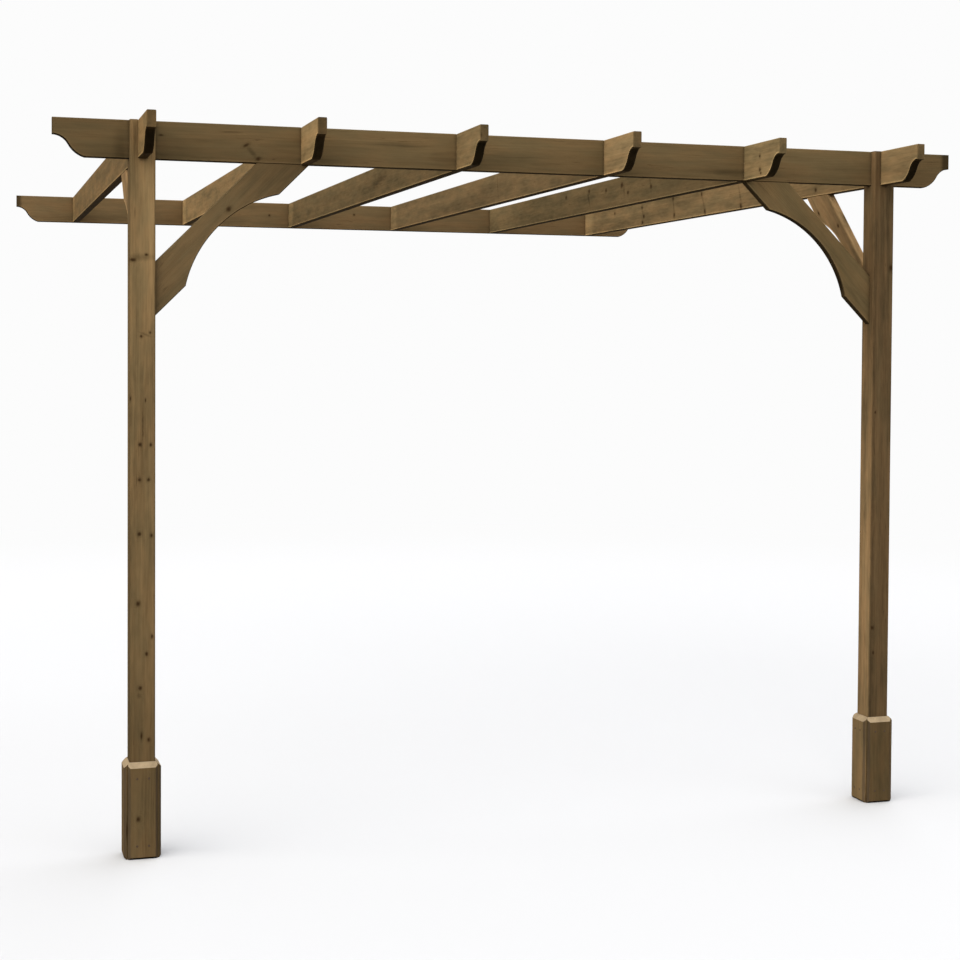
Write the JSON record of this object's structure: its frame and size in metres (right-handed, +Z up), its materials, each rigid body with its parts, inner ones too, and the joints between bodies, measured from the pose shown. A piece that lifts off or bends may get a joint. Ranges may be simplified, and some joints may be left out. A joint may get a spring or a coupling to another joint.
{
  "type": "lean-to pergola",
  "caption": "Open timber lean-to pergola: slotted posts in boots carry a front beam and halved rafters with shaped ends, running back to a wall plate, with arched corner braces.",
  "frame": {"origin": "on the wall plate's back face, half way along it and half way up it", "axes": "+X along the wall to the right as seen from the front, +Y into the wall, +Z up"},
  "size_m": [3.833, 4.083, 2.832],
  "materials": {
    "board_timber": "brown-stained planed softwood",
    "post_timber": "brown-stained planed softwood",
    "brace_timber": "brown-stained planed softwood",
    "boot_timber": "brown-stained planed softwood, paler on the sloped tops",
    "fixings": "weathered screw heads, dark brown"
  },
  "bodies": {
    "root": {"wall_plate": "board_timber", "front_beam": "board_timber", "rafter_1": "board_timber", "rafter_2": "board_timber", "rafter_3": "board_timber", "rafter_4": "board_timber", "rafter_5": "board_timber", "rafter_6": "board_timber", "post_left": "post_timber", "post_right": "post_timber", "front_brace_left": "brace_timber", "front_brace_right": "brace_timber", "side_brace_left": "brace_timber", "side_brace_right": "brace_timber", "boot_left_front": "boot_timber", "boot_left_back": "boot_timber", "boot_left_outer": "boot_timber", "boot_left_inner": "boot_timber", "boot_right_front": "boot_timber", "boot_right_back": "boot_timber", "boot_right_outer": "boot_timber", "boot_right_inner": "boot_timber"}
  },
  "joints": []
}
